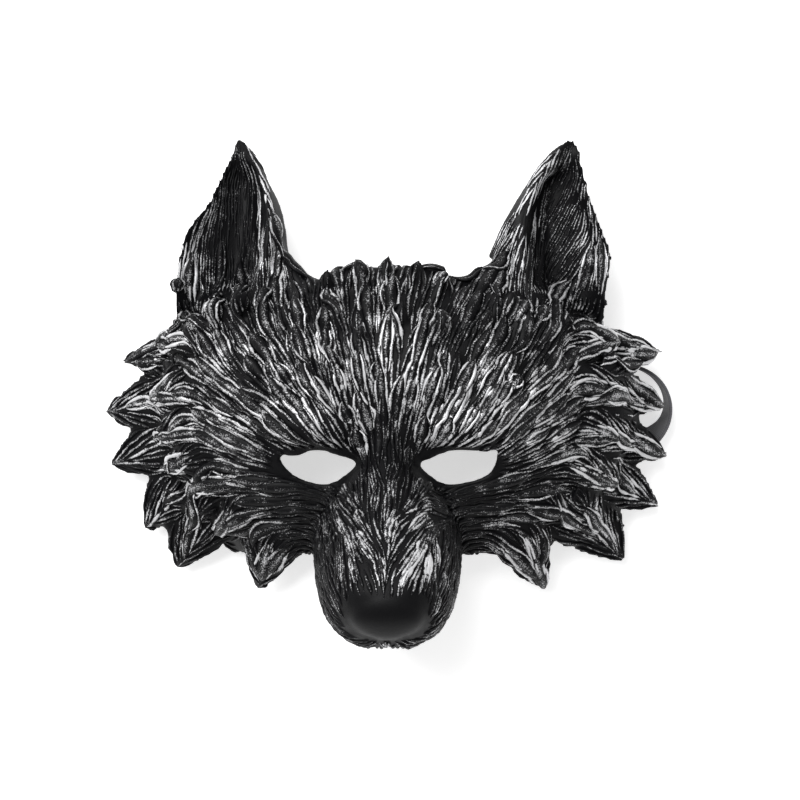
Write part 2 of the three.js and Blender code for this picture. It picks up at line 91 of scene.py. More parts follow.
# The camera looks straight down at the mask from its front, as the photograph does
camera = bpy.data.objects.new("camera", bpy.data.cameras.new("camera"))
camera.data.lens = 140.6
camera.data.sensor_width = 36
camera.location = (0.00507, -0.00436, 1.5)
bpy.context.scene.collection.objects.link(camera)
bpy.context.scene.camera = camera

# Which way the fur is combed: mm across, mm up, degrees from +X to the strand's tip
combing = [
    (4, 12, 88), (-1, 42, 90), (-12, 12, 100), (-15, 46, 97), (-27, -6, 108), (-27, 19, 101),
    (-31, 46, 100), (-41, 30, 113), (-49, -6, 138), (-58, 16, 131), (-73, 26, 124), (-82, -1, 154),
    (-91, -15, 167), (-112, -18, 180), (-96, -34, 188), (-73, -24, 162), (-54, -27, 150),
    (-64, -40, 185), (-78, -47, 192), (-36, -23, 126), (-45, -23, 140), (-94, 22, 150), (14, 12, 78),
    (12, 51, 76), (25, 51, 64), (22, 3, 82), (31, -6, 66), (49, -10, 50), (57, 12, 51), (76, -1, 36),
    (90, -4, 22), (114, 16, 16), (90, 26, 30), (99, -10, 10), (119, -24, -15), (90, -24, 4),
    (71, -19, 26), (63, -37, 10), (90, -34, -16), (114, -42, -30), (35, -23, 52), (22, -27, 60),
    (53, -23, 43), (58, 26, 58), (35, 28, 66), (76, 19, 50), (-7, -39, 118), (-11, -69, 122),
    (-24, -56, 143), (-33, -55, 168), (-47, -56, 200), (-51, -47, 190), (-26, -77, 123),
    (-28, -94, 108), (-15, -88, 112), (6, -39, 60), (-1, -49, 90), (10, -56, 46), (10, -76, 56),
    (23, -89, 68), (23, -54, 18), (27, -76, 62), (42, -58, -4), (55, -74, -34), (69, -81, -38),
    (60, -58, -10), (50, -36, 8), (-60, -79, 232), (-70, -61, 205), (-90, -57, 212), (-109, -42, 200),
    (90, -51, -30), (100, -66, -48), (119, -54, -40), (0, -101, 90), (-13, -18, 108), (14, -18, 76),
    (-1, -18, 90), (-18, -36, 150), (16, -36, 30), (-97, 60, 84), (-90, 80, 70), (-78, 96, 66),
    (-84, 50, 94), (-80, 70, 88), (-74, 90, 88), (-71, 108, 92), (-62, 60, 98), (-60, 80, 100),
    (-52, 58, 92), (-52, 74, 98), (-58, 94, 108), (-90, 42, 110), (100, 60, 88), (94, 85, 96),
    (89, 104, 98), (96, 45, 70), (84, 50, 50), (86, 66, 52), (84, 84, 56), (82, 102, 70), (66, 50, 86),
    (64, 70, 66), (70, 90, 60), (76, 108, 55), (52, 60, 62), (56, 76, 60),
]

# Tufts that the moulding has round the face: root and tip, mm across and up, and half width in mm
ruffTufts = [
    (-100, 17, -127, 14, 11), (-101, -6, -135, -10, 13), (-100, -23, -133, -35, 12),
    (-96, -43, -117, -66, 12), (-88, -57, -101, -85, 12), (-54, -67, -62, -96, 14),
    (97, 18, 129, 18, 13), (99, 2, 130, -7, 10), (99, -18, 132, -31, 10), (97, -37, 129, -55, 11),
    (89, -54, 112, -81, 13), (59, -65, 74, -95, 15), (-89, 25, -110, 22, 11), (-92, 4, -112, -4, 11),
    (-90, -14, -110, -23, 10), (-88, -27, -105, -37, 10), (-78, -39, -92, -46, 8),
    (-67, -53, -82, -68, 9), (-86, -47, -93, -62, 10), (85, 24, 109, 23, 11), (89, 5, 111, -3, 10),
    (90, -14, 113, -25, 10), (85, -32, 107, -45, 10), (69, -50, 85, -61, 9), (87, -46, 99, -65, 10),
]
outerTufts = 12  # the first rows, round the outside

# Raised locks on the forehead and at the ears' roots: the same columns, and how far the tip stands up
raisedLocks = [
    (-27, 43, -29, 61, 3.4, 3), (-14, 43, -15, 61, 3.2, 3), (-1, 43, 0, 63, 3.0, 3),
    (10, 43, 14, 61, 3.0, 3), (21, 42, 27, 58, 3.2, 3), (-35, 19, -44, 44, 4.6, 4),
    (-23, 19, -28, 44, 4.2, 4), (-11, 16, -15, 40, 3.6, 3), (1, 16, 1, 39, 4.0, 3),
    (8, 9, 17, 33, 3.6, 3), (16, 16, 26, 37, 3.4, 3), (-19, -13, -28, 21, 4.2, 5),
    (-9, -6, -15, 21, 3.2, 3), (16, -15, 25, 13, 4.2, 5), (6, -10, 14, 21, 3.4, 3),
    (-20, -20, -37, 2, 4.2, 4), (23, -20, 38, 12, 3.4, 3), (32, -20, 51, 11, 3.6, 3),
    (-80, 28, -80, 45, 4.4, 6), (-67, 31, -69, 49, 5.0, 7), (-57, 30, -58, 46, 3.6, 5),
    (47, 26, 50, 48, 4.4, 5), (57, 22, 64, 42, 5.0, 7), (72, 25, 78, 43, 4.8, 6),
    (-84, 17, -96, 36, 5.5, 4), (-52, -14, -74, 2, 4.2, 3), (-44, -6, -56, 16, 3.6, 3),
    (52, -12, 74, 6, 4.0, 3), (45, -8, 60, 20, 3.4, 3), (-44, 46, -55, 78, 3.4, 0),
    (42, 46, 60, 74, 3.8, 0),
]

# How much silver the dry brush left: mm across, mm up, share
silvering = [
    (0, 30, 0.75), (-18, 5, 0.95), (-30, -8, 1.0), (-45, 30, 0.6), (-20, 45, 0.6), (8, 0, 0.9),
    (15, 20, 0.85), (30, -8, 1.0), (50, -12, 0.95), (25, 48, 0.55), (35, 28, 0.25), (-1, -12, 0.3),
    (-1, -20, 0.1), (-7, -15, 0.9), (-13, -22, 0.75), (-24, -24, 0.8), (8, -14, 1.0), (11, -20, 0.7),
    (24, -22, 0.9), (42, -24, 0.9), (-42, -24, 0.7), (-4, -28, 0.1), (3, -28, 0.1), (-36, 50, 0.15),
    (38, 48, 0.2), (-60, 16, 0.5), (-60, -12, 0.75), (-85, 8, 0.75), (-100, -6, 0.75), (-100, -28, 0.7),
    (-75, -35, 0.6), (-60, -48, 0.4), (-80, -60, 0.45), (-32, -46, 0.0), (-45, -44, 0.1),
    (-20, -60, 0.55), (-14, -78, 0.5), (-30, -90, 0.2), (-34, -72, 0.15), (2, -50, 0.4), (8, -62, 0.8),
    (12, -78, 1.0), (28, -64, 0.15), (28, -95, 0.35), (34, -76, 0.15), (32, -46, 0.0), (45, -44, 0.15),
    (60, -36, 0.6), (80, -30, 0.7), (70, 5, 0.65), (95, 10, 0.8), (75, 22, 0.35), (100, -20, 0.8),
    (85, -50, 0.5), (60, -60, 0.5), (62, -80, 0.8), (-58, -82, 0.6), (-92, 28, 0.7), (120, 18, 0.9),
    (125, -8, 0.8), (126, -30, 0.9), (122, -52, 0.8), (105, -75, 0.7), (-122, 14, 0.5),
    (-128, -10, 0.8), (-126, -34, 0.75), (-110, -62, 0.6), (-96, -80, 0.65), (-96, 62, 1.0),
    (-98, 72, 0.7), (-93, 52, 0.9), (-80, 66, 0.1), (-74, 84, 0.25), (-84, 84, 0.5), (-74, 104, 0.3),
    (-56, 72, 1.0), (-55, 82, 1.0), (-58, 94, 1.0), (-50, 68, 0.5), (-64, 106, 0.9), (-57, 60, 0.9),
    (-66, 58, 0.05), (-68, 72, 0.05), (100, 76, 0.7), (97, 58, 0.9), (93, 48, 0.9), (86, 72, 0.6),
    (70, 54, 0.0), (68, 66, 0.1), (76, 66, 0.4), (60, 60, 1.0), (61, 72, 1.0), (62, 84, 1.0),
    (68, 97, 1.0), (76, 107, 0.9), (86, 104, 0.4), (88, 92, 0.6), (54, 60, 0.5), (56, 80, 0.5),
    (-92, 44, 0.7), (62, 42, 0.8), (80, 46, 0.7),
]


def readingOf(table, softness, power):
    # a smooth reading between a table's places, where nearer ones count more
    places = np.array([row[:2] for row in table], float)
    values = np.array([row[2:] for row in table], float)

    def read(point):
        gap = places - (point[0] / mm, point[1] / mm)
        weight = 1 / ((gap * gap).sum(axis=1) + softness) ** power
        return weight @ values / weight.sum()
    return read


combWays = [(x, y, math.cos(math.radians(turn)), math.sin(math.radians(turn))) for x, y, turn in combing]
combAt = readingOf(combWays, 4, 1.7)
silverAt = readingOf(silvering, 8, 1.6)
tuftLines = [row[:5] for row in ruffTufts + raisedLocks]
tuftRoots = np.array([row[:2] for row in tuftLines], float)
tuftSpans = np.array([(row[2] - row[0], row[3] - row[1]) for row in tuftLines], float)
tuftReach = np.hypot(*tuftSpans.T)
tuftSpans /= tuftReach[:, None]
tuftHalves = np.array([row[4] for row in tuftLines], float)


eyes = {"apart": 63.4, "drop": 35.2, "halfWidth": 20, "halfHeight": 8.6, "middle": -0.7}


def eyeNearness(point):
    # under 1 inside an eye hole, in shares of its size
    x, y = point[0] / mm - eyes["middle"], point[1] / mm + eyes["drop"]
    return math.hypot((abs(x) - eyes["apart"] / 2) / eyes["halfWidth"], y / eyes["halfHeight"])


def tuftPlace(point, first=0, last=len(ruffTufts)):
    # how far along its nearest tuft a place lies, and how far off the tuft's middle (1 at the flank)
    rows = slice(first, last)
    offset = np.array((point[0], point[1])) / mm - tuftRoots[rows]
    along = (offset * tuftSpans[rows]).sum(axis=1) / tuftReach[rows]
    aside = np.abs(offset[:, 0] * tuftSpans[rows, 1] - offset[:, 1] * tuftSpans[rows, 0])
    off = aside / (tuftHalves[rows] * (1.15 - 0.85 * np.clip(along, 0, 1)))
    off[(along < 0.05) | (along > 1.15)] = 9
    best = int(off.argmin())
    return float(along[best]), float(off[best])


def silverShare(point):
    # the dry brush catches the middle and the tip of each tuft, and leaves its flanks black
    along, off = tuftPlace(point)
    share = float(silverAt(point)[0]) * smoothStep(1.0, 1.3, eyeNearness(point))
    if point[1] > 36 * mm:
        share *= 0.2 + 0.8 * smoothStep(28 * mm, 40 * mm, point[2])  # the temples' walls stay nearly black
    if off > 3:
        return share
    shine = 0.35 + 1.1 * math.exp(-(off / 0.6) ** 2)
    return share * (1 + (shine - 1) * smoothStep(0.1, 0.5, along))


def heading(point, normal):
    # the way a strand runs at a place on the skin: as combed, and on a tuft drawn in to its tip
    flat = np.array(combAt(point))
    flat /= np.hypot(*flat) + 1e-9
    here = np.array((point.x, point.y)) / mm
    offset = here - tuftRoots
    along = (offset * tuftSpans).sum(axis=1) / tuftReach
    aside = np.abs(offset[:, 0] * tuftSpans[:, 1] - offset[:, 1] * tuftSpans[:, 0])
    reach = tuftHalves * (1.25 - 0.8 * np.clip(along, 0, 1))
    pull = np.clip((along + 0.1) * 2.5, 0, 1) * np.clip(1.5 - aside / reach, 0, 1) * (along < 1.03)
    best = int(pull.argmax())
    if pull[best] > 0:
        target = tuftRoots[best] + tuftSpans[best] * tuftReach[best] * 1.12 - here
        target /= np.hypot(*target) + 1e-9
        flat = flat * (1 - pull[best]) + target * pull[best] * 1.4
    way = Vector((flat[0], flat[1], 0))
    if point.y < -64 * mm and abs(point.x) < 42 * mm and normal.z < 0.5:
        way = Vector((0.35 * normal.x, 0.6, -0.5))  # the muzzle's sides are combed back and down
    way -= normal * way.dot(normal)
    return way.normalized() if way.length > 1e-6 else None


# The moulding: the CAD shell, remeshed with its locks and webs

foamSkin = {
    "voxel": 1.42 * mm, "softening": 7, "edgeDrop": 5.5 * mm, "lockSides": 10, "lockRings": 9,
    "lockSink": 1.5 * mm, "webSink": 5 * mm, "webSpread": 1.85, "webThickness": 2.4 * mm, "cupSink": 8 * mm,
    "foldRise": 1.6 * mm, "pinch": 0.075, "chinRise": 1.8 * mm,
}

# The edge of the thick fold on the inner side of each ear, under which its cup lies: mm up, mm across
earFolds = {
    -1: [(44, -66), (49, -62.5), (60, -58.5), (81, -57), (92, -58.5), (104, -62), (113, -68)],
    1: [(34, 70), (46, 63.5), (58, 63), (71, 63.5), (83, 65), (97, 70), (106, 80)],
}


def castDown(surface, x, y):
    hit = surface.ray_cast(Vector((x, y, 0.3)), Vector((0, 0, -1)))[0]
    return hit.z if hit and hit.z > 6 * mm else None


def addLockBodies(mesh, surface):
    # horns that lie on the skin, bulge and lift at the tip, and flat webs between the ruff's tufts
    vertices, faces = [], []
    # the first and last tuft of each side have no web; a negative lift marks one
    webs = [row + (-1,) for i, row in enumerate(ruffTufts[:outerTufts]) if i % 6 not in (0, 5)]
    for rx, ry, tx, ty, half, lift in raisedLocks + webs:
        isWeb = lift < 0
        rings = foamSkin["lockRings"]
        first = len(vertices)
        height = None
        for i in range(rings):
            t = -0.1 + 1.1 * i / (rings - 1)
            x, y = (rx + (tx - rx) * t) * mm, (ry + (ty - ry) * t) * mm
            height = castDown(surface, x, y) or height
            ahead = Vector((tx - rx, ty - ry, 0)).normalized()
            side = Vector((ahead.y, -ahead.x, 0))
            if isWeb:
                middle = Vector((x, y, height - foamSkin["webSink"] * (1 - 0.4 * max(t, 0))))
                wide = half * mm * foamSkin["webSpread"] * (1.02 - max(t, 0)) ** 0.75
                thick = foamSkin["webThickness"] * (1.1 - max(t, 0)) ** 0.5
            else:
                middle = Vector((x, y, height - foamSkin["lockSink"] + lift * mm * max(t, 0) ** 1.3))
                wide = half * mm * (0.45 + 0.75 * max(t, 0)) * (1.02 - max(t, 0) ** 3.5) ** 0.6
                thick = 0.75 * wide
            for j in range(foamSkin["lockSides"]):
                turn = 2 * math.pi * j / foamSkin["lockSides"]
                around = side * wide * math.cos(turn) + Vector((0, 0, thick * math.sin(turn)))
                vertices.append(middle + around)
        n = foamSkin["lockSides"]
        for i in range(rings - 1):
            for j in range(n):
                a, b = first + i * n + j, first + i * n + (j + 1) % n
                faces.append((a, b, b + n, a + n))
        faces.append([first + j for j in reversed(range(n))])
        faces.append([first + (rings - 1) * n + j for j in range(n)])
    start = len(mesh.vertices)
    joined = bpy.data.meshes.new("joined")
    old = [v.co.copy() for v in mesh.vertices]
    oldFaces = [tuple(p.vertices) for p in mesh.polygons]
    joined.from_pydata(old + vertices, [], oldFaces + [[start + i for i in f] for f in faces])
    return joined


shellMesh = nodes["mask_shell"].data.copy()
shellMesh.transform(nodes["mask_shell"].matrix_world)
plainShell = linkObject("plainShell", shellMesh)
plainSkin = BVHTree.FromObject(plainShell, bpy.context.evaluated_depsgraph_get())
shellCopy = linkObject("shellCopy", addLockBodies(shellMesh, plainSkin))
bpy.data.objects.remove(plainShell)
weld = shellCopy.modifiers.new("weld", "WELD")
weld.merge_threshold = 0.02 * mm
remesh = shellCopy.modifiers.new("remesh", "REMESH")
remesh.mode = "VOXEL"
remesh.voxel_size = foamSkin["voxel"]
remesh.use_smooth_shade = True
soften = shellCopy.modifiers.new("soften", "SMOOTH")
soften.factor = 0.5
soften.iterations = foamSkin["softening"]
base = linkObject("foam_skin", evaluatedMesh(shellCopy, "foam_skin"))
bpy.data.objects.remove(shellCopy)
baseMesh = base.data
for vertex in baseMesh.vertices:
    x, y = abs(vertex.co.x) / mm, vertex.co.y / mm
    if y > 38 and x < 44:
        drop = smoothStep(16, 34, x) * smoothStep(40, 57, y) * (1 - smoothStep(37, 44, x))
        vertex.co.y -= foamSkin["edgeDrop"] * drop  # the forehead's edge falls towards the ears
    if y < -36 and x < 50:
        pinch = smoothStep(36, 62, -y) * (1 - smoothStep(36, 48, x))
        vertex.co.x *= 1 - foamSkin["pinch"] * pinch  # the fur makes up the muzzle's width again
        vertex.co.y += foamSkin["chinRise"] * smoothStep(98, 112, -y)
    if y > 34 and x > 40:
        side = 1 if vertex.co.x > 0 else -1
        ups, acrosses = zip(*earFolds[side])
        inside = side * (vertex.co.x / mm - np.interp(y, ups, acrosses))
        sink = smoothStep(-0.6, 2.4, inside) * (1 - smoothStep(5, 27, inside))
        fold = smoothStep(-7, -3, inside) * (1 - smoothStep(-1.2, 1, inside))
        onEar = smoothStep(44, 52, y) * (1 - smoothStep(98, 112, y))
        vertex.co.z += (foamSkin["foldRise"] * fold - foamSkin["cupSink"] * sink) * onEar
    vertex.co.z = max(vertex.co.z, 0.1 * mm)
print("foam skin", len(baseMesh.polygons), "faces")


def lockPaint(point, normal):
    # the brush also drags over the bare backs of the raised locks and the ruff's blunt tips
    if normal.z < 0.1 or onNose(point):
        return 0
    along, off = tuftPlace(point, len(ruffTufts), len(tuftLines) - 2)
    if 0.25 < along < 1.12 and off < 1.4:
        return 0.62 * math.exp(-(off / 0.9) ** 2) * smoothStep(0.25, 0.6, along)
    along, off = tuftPlace(point)
    return 0.35 * math.exp(-(off / 0.5) ** 2) * smoothStep(0.7, 0.9, along) if off < 2 else 0

skin = BVHTree.FromObject(base, bpy.context.evaluated_depsgraph_get())


def isOuter(point, normal):
    # the combed outside: open to above, or the back of an ear
    if point.y > 62 * mm:
        return abs(normal.z) > 0.6
    if normal.z < -0.15:
        return False
    start = point + normal * 0.8 * mm
    sky = Vector((normal.x * 0.35, normal.y * 0.35, 1)).normalized()
    if skin.ray_cast(start, sky, 0.3)[0] is None:
        return True
    return normal.z > -0.1 and skin.ray_cast(start, normal, 0.3)[0] is None


nose = {"middle": Vector((-0.7, -101.9, 103.8)) * mm, "tilt": 38, "halfWidth": 18.5, "halfHeight": 13.5}
noseTurn = Matrix.Rotation(math.radians(-nose["tilt"]), 3, "X")


def onNose(point):
    local = noseTurn @ (point - nose["middle"]) / mm
    return abs(local.x / nose["halfWidth"]) ** 4 + abs(local.y / nose["halfHeight"]) ** 4 < 1 and local.z > -7


# The fur: even ridges everywhere, then raised locks of a few strands

# For each region, in mm: ridge pitch, longest ridge, and its raised locks' spacing, length, width and lift
furRegions = {
    "forehead": {"pitch": 2.3, "longest": 46, "apart": 10, "length": 32, "width": 7.5, "lift": 2.6},
    "brow": {"pitch": 2.1, "longest": 44, "apart": 7, "length": 28, "width": 6.5, "lift": 2.2},
    "cheek": {"pitch": 2.1, "longest": 60, "apart": 9, "length": 32, "width": 7.5, "lift": 2.2},
    "ruff": {"pitch": 2.0, "longest": 40, "apart": 0, "length": 0, "width": 0, "lift": 0},
    "muzzle": {"pitch": 1.9, "longest": 34, "apart": 8, "length": 20, "width": 3.8, "lift": 0.7},
    "ear": {"pitch": 1.4, "longest": 40, "apart": 0, "length": 0, "width": 0, "lift": 0},
}


def regionAt(point):
    x, y, z = point / mm
    if y > 62 or y > 44 and abs(x) > 44:
        return "ear"
    if y < -36 and abs(x) < 34 and z > 56 or y < -62 and abs(x) < 42:
        return "muzzle"
    if -28 < y < 4 and abs(x) < 72 and z > 50:
        return "brow"
    if y > -4 and abs(x) < 72:
        return "forehead"
    return "ruff" if z < 32 else "cheek"


def pieceOf(region):
    return "fur_cheeks" if region == "cheek" else "fur_" + region


class Spots:
    # points in boxes, to ask quickly whether any lies near
    def __init__(self, size):
        self.size = size
        self.boxes = {}

    def keyOf(self, point):
        return tuple(int(math.floor(c / self.size)) for c in point)

    def add(self, point, owner):
        self.boxes.setdefault(self.keyOf(point), []).append((point, owner))

    def near(self, point, reach, owner=None):
        i, j, k = self.keyOf(point)
        for a in (i - 1, i, i + 1):
            for b in (j - 1, j, j + 1):
                for c in (k - 1, k, k + 1):
                    for other, whose in self.boxes.get((a, b, c), ()):
                        if whose != owner and (other - point).length < reach:
                            return True
        return False


def walk(start, normal, length, sign, step, blocked=None):
    # a path over the skin from a start, along the combing or against it
    points, normals = [], []
    place, facing, before = start, normal, None
    for _ in range(int(length / step)):
        way = heading(place, facing)
        if way is None:
            break
        way = way * sign
        if before is not None:
            way = (way * 0.65 + before * 0.35).normalized()
        ahead = place + way * step
        found, foundNormal, _, distance = skin.find_nearest(ahead)
        if distance > 0.8 * step or foundNormal.dot(facing) < (0.65 if found.y > 62 * mm else 0.25):
            break
        if eyeNearness(found) < 1.02 or onNose(found) or (blocked and blocked(found)):
            break
        before = (found - place).normalized()
        place, facing = found, (facing * 0.4 + foundNormal * 0.6).normalized()
        points.append(place)
        normals.append(facing)
    return points, normals


def evenly(rows, count, rounds=2):
    # the same path through evenly spaced, smoothed points
    data = np.array([tuple(p) for p in rows], float)
    for _ in range(rounds):
        data[1:-1] = data[1:-1] * 0.5 + (data[:-2] + data[2:]) * 0.25
    spans = np.r_[0, np.cumsum(np.linalg.norm(np.diff(data, axis=0), axis=1))]
    wanted = np.linspace(0, spans[-1], count)
    return np.stack([np.interp(wanted, spans, data[:, i]) for i in range(data.shape[1])], axis=1)


def unit(rows):
    return rows / (np.linalg.norm(rows, axis=1)[:, None] + 1e-12)


def ripple(along, waves):
    # a gentle uneven wave between -1 and 1
    one, two = dice.uniform(0, 6.3), dice.uniform(0, 6.3)
    return 0.6 * np.sin(one + along * waves * 6.3) + 0.4 * np.sin(two + along * waves * 15.1)


strands = {}


def addStrand(piece, points, upward, girth, silver):
    rows = strands.setdefault(piece, {"points": [], "upward": [], "girth": [], "silver": [], "edges": []})
    first = len(rows["points"])
    points[:, 2] = np.maximum(points[:, 2], np.asarray(girth))  # nothing sinks into the floor
    rows["points"].extend(map(tuple, points))
    rows["upward"].extend(map(tuple, upward))
    rows["girth"].extend(girth)
    rows["silver"].extend(silver)
    rows["edges"].extend((first + i, first + i + 1) for i in range(len(points) - 1))


# places spread evenly over the skin, where strands may start
sowing = {"seed": 3, "places": 60000}
faceAreas = np.array([p.area for p in baseMesh.polygons])
sower = np.random.default_rng(sowing["seed"])
chosen = sower.choice(len(faceAreas), sowing["places"], p=faceAreas / faceAreas.sum())
places = [(baseMesh.polygons[int(i)].center.copy(), baseMesh.polygons[int(i)].normal.copy()) for i in chosen]

ridges = {
    "step": 1.6 * mm, "shortest": 3.4 * mm, "closest": 0.54, "sparing": 0.92, "girth": 0.44,
    "rise": 0.2 * mm, "sway": 0.22 * mm, "earSink": 0.25 * mm, "between": 0.82, "boxes": 2.6 * mm,
    "waveLength": 9 * mm, "girthVaries": 0.28, "riseVaries": 0.22 * mm, "endsSink": 0.3 * mm,
    "clearOfEyes": 1.03, "clearOfTips": 1.1,
}
taken = Spots(ridges["boxes"])
count = 0
for start, normal in places:
    region = regionAt(start)
    rule = furRegions[region]
    pitch = rule["pitch"] * mm
    if eyeNearness(start) < ridges["clearOfEyes"] or onNose(start):
        continue
    if taken.near(start, ridges["sparing"] * pitch):
        continue
    if not isOuter(start, normal):
        continue
    if region == "ruff" and tuftPlace(start)[1] > ridges["clearOfTips"]:
        continue

    def stop(point):
        crowded = taken.near(point, pitch * ridges["closest"])
        return crowded or (regionAt(point) == "ear") != (region == "ear")

    reach = rule["longest"] * mm * dice.uniform(0.35, 0.6)
    back, backNormals = walk(start, normal, reach, -1, ridges["step"], stop)
    ahead, aheadNormals = walk(start, normal, reach, 1, ridges["step"], stop)
    path = back[::-1] + [start] + ahead
    facing = backNormals[::-1] + [normal] + aheadNormals
    if len(path) * ridges["step"] < ridges["shortest"]:
        continue
    for place in path:
        taken.add(place, count)
    count += 1
    steps = max(5, int(len(path) * 0.9))
    along = np.linspace(0, 1, steps)
    middle, up = evenly(path, steps), unit(evenly(facing, steps, 3))
    side = unit(np.cross(up, np.gradient(middle, axis=0)))
    waves = len(path) * ridges["step"] / ridges["waveLength"]
    middle = middle + side * (ridges["sway"] * ripple(along, waves))[:, None]
    taper = np.clip(along / 0.14, 0.2, 1) * np.clip((1 - along) / 0.22, 0.2, 1) ** 0.7
    swell = 1 + ridges["girthVaries"] * ripple(along, waves * 1.6)
    girth = ridges["girth"] * pitch * taper * swell * dice.uniform(0.75, 1.25)
    rise = ridges["rise"] + ridges["riseVaries"] * ripple(along, waves * 0.7)
    rise = rise - ridges["endsSink"] * (1 - taper)
    if region == "ear":
        rise = rise - ridges["earSink"]
    share = np.array([silverShare(p) for p in middle])
    if rule["lift"]:
        share = share * ridges["between"]
    share = share * (dice.uniform(0.8, 1.35) if region == "ear" else dice.uniform(0.55, 1.15))
    share = share * (1 + 0.3 * ripple(along, waves * 0.5)) * (0.5 + 0.5 * taper)
    piece = pieceOf(region)
    addStrand(piece, middle + up * rise[:, None], up, girth, share)
print("ridges", count)

locks = {
    "strands": 3, "points": 11, "girth": 0.95 * mm, "step": 1.8 * mm, "silver": 1.25, "bodySilver": 0.5,
    "boxes": 14 * mm, "clearOfEyes": 1.1, "fewestSteps": 5,
}
lockSpots = Spots(locks["boxes"])
lockCount = 0
for start, normal in places[::2]:
    region = regionAt(start)
    rule = furRegions[region]
    if rule["lift"] == 0 or eyeNearness(start) < locks["clearOfEyes"] or onNose(start):
        continue
    if lockSpots.near(start, rule["apart"] * mm):
        continue
    if not isOuter(start, normal):
        continue
    path, facing = walk(start, normal, rule["length"] * mm * dice.uniform(0.6, 1.2), 1, locks["step"])
    if len(path) < locks["fewestSteps"]:
        continue
    lockSpots.add(start, lockCount)
    lockCount += 1
    n = locks["points"]
    along = np.linspace(0, 1, n)
    middle, up = evenly(path, n), unit(evenly(facing, n, 3))
    side = unit(np.cross(up, np.gradient(middle, axis=0)))
    width = rule["width"] * mm * dice.uniform(0.7, 1.2) / 2
    lift = rule["lift"] * mm * dice.uniform(0.5, 1.2)
    spread = (0.4 + 1.1 * along) * np.clip((1.0 - along) * 2.2, 0, 1) ** 0.7
    swell = lift * along ** 0.8 * np.clip((1.03 - along) * 5, 0, 1) ** 0.6
    silver = silverShare(middle[n // 2])
    piece = pieceOf(region)
    body = width * 0.85 * np.clip(spread, 0.15, 1)
    bodySilver = np.full(n, min(silver, 0.8) * locks["bodySilver"])
    addStrand(piece, middle + up * (swell - 0.55 * body)[:, None], up, body, bodySilver)
    for j in range(locks["strands"]):
        place = (j - (locks["strands"] - 1) / 2) / ((locks["strands"] - 1) / 2) + dice.uniform(-0.15, 0.15)
        ends = dice.uniform(0.86, 1.0)
        t = dice.uniform(0, 0.15) + (ends - 0.1) * along

        def pick(table):
            return np.stack([np.interp(t, along, table[:, i]) for i in range(3)], axis=1)

        lateral = place * width * np.interp(t, along, spread) + 0.2 * mm * ripple(along, 2)
        rise = np.interp(t, along, swell) * (1 - 0.5 * place * place)
        taper = np.clip(along / 0.2, 0.15, 1) * np.clip((1 - along) / 0.25, 0.15, 1) ** 0.7
        girth = locks["girth"] * dice.uniform(0.75, 1.2) * taper * (1 + 0.25 * ripple(along, 3))
        points = pick(middle) + pick(side) * lateral[:, None] + pick(up) * (rise - 0.25 * girth)[:, None]
        share = silver * locks["silver"] * dice.uniform(0.8, 1.15) * (1 + 0.25 * ripple(along, 1.5))
        addStrand(piece, points, pick(up), girth, share)
print("raised locks", lockCount)


def strandTree():
    # sweeps a flattened round along every guide and keeps how high each place stands on its strand
    tree = bpy.data.node_groups.new("sweepStrands", "GeometryNodeTree")
    face = tree.interface
    face.new_socket("Geometry", in_out="INPUT", socket_type="NodeSocketGeometry")
    face.new_socket("Sides", in_out="INPUT", socket_type="NodeSocketInt")
    face.new_socket("Flatness", in_out="INPUT", socket_type="NodeSocketFloat")
    face.new_socket("Finish", in_out="INPUT", socket_type="NodeSocketMaterial")
    face.new_socket("Geometry", in_out="OUTPUT", socket_type="NodeSocketGeometry")
    given = tree.nodes.new("NodeGroupInput")
    result = tree.nodes.new("NodeGroupOutput")
    named = "GeometryNodeInputNamedAttribute"
    upward = addNode(tree, named, {"data_type": "FLOAT_VECTOR"}, Name="upward").outputs[0]
    guide = addNode(tree, named, {"data_type": "FLOAT_VECTOR"}, Name="guide").outputs[0]
    girth = addNode(tree, named, {"data_type": "FLOAT"}, Name="girth").outputs[0]
    curve = addNode(tree, "GeometryNodeMeshToCurve", Mesh=given.outputs["Geometry"])
    turned = addNode(tree, "GeometryNodeSetCurveNormal", {"mode": "FREE"}, Curve=curve.outputs[0],
                     Normal=upward)
    circle = addNode(tree, "GeometryNodeCurvePrimitiveCircle", Resolution=given.outputs["Sides"], Radius=1.0)
    flatten = addNode(tree, "ShaderNodeCombineXYZ", X=given.outputs["Flatness"], Y=1.0, Z=1.0)
    profile = addNode(tree, "GeometryNodeTransform", Geometry=circle.outputs[0], Scale=flatten.outputs[0])
    tube = addNode(tree, "GeometryNodeCurveToMesh", Curve=turned.outputs[0], Profile_Curve=profile.outputs[0],
                   Scale=girth, Fill_Caps=True)
    position = tree.nodes.new("GeometryNodeInputPosition").outputs[0]
    offset = addNode(tree, "ShaderNodeVectorMath", {"operation": "SUBTRACT"}, i0=position,
                     i1=guide).outputs[0]
    height = addNode(tree, "ShaderNodeVectorMath", {"operation": "DOT_PRODUCT"}, i0=offset, i1=upward)
    tall = addNode(tree, "ShaderNodeMath", {"operation": "MULTIPLY"}, i0=girth, i1=given.outputs["Flatness"])
    share = addNode(tree, "ShaderNodeMath", {"operation": "DIVIDE"}, i0=height.outputs["Value"],
                    i1=tall.outputs[0])
    kept = addNode(tree, "GeometryNodeStoreNamedAttribute", {"data_type": "FLOAT", "domain": "POINT"},
                   Geometry=tube.outputs[0], Name="crest", Value=share.outputs[0])
    smooth = addNode(tree, "GeometryNodeSetShadeSmooth", Geometry=kept.outputs[0])
    real = addNode(tree, "GeometryNodeRealizeInstances", Geometry=smooth.outputs[0])
    finish = addNode(tree, "GeometryNodeSetMaterial", Geometry=real.outputs[0],
                     Material=given.outputs["Finish"])
    tree.links.new(finish.outputs[0], result.inputs[0])
    return tree


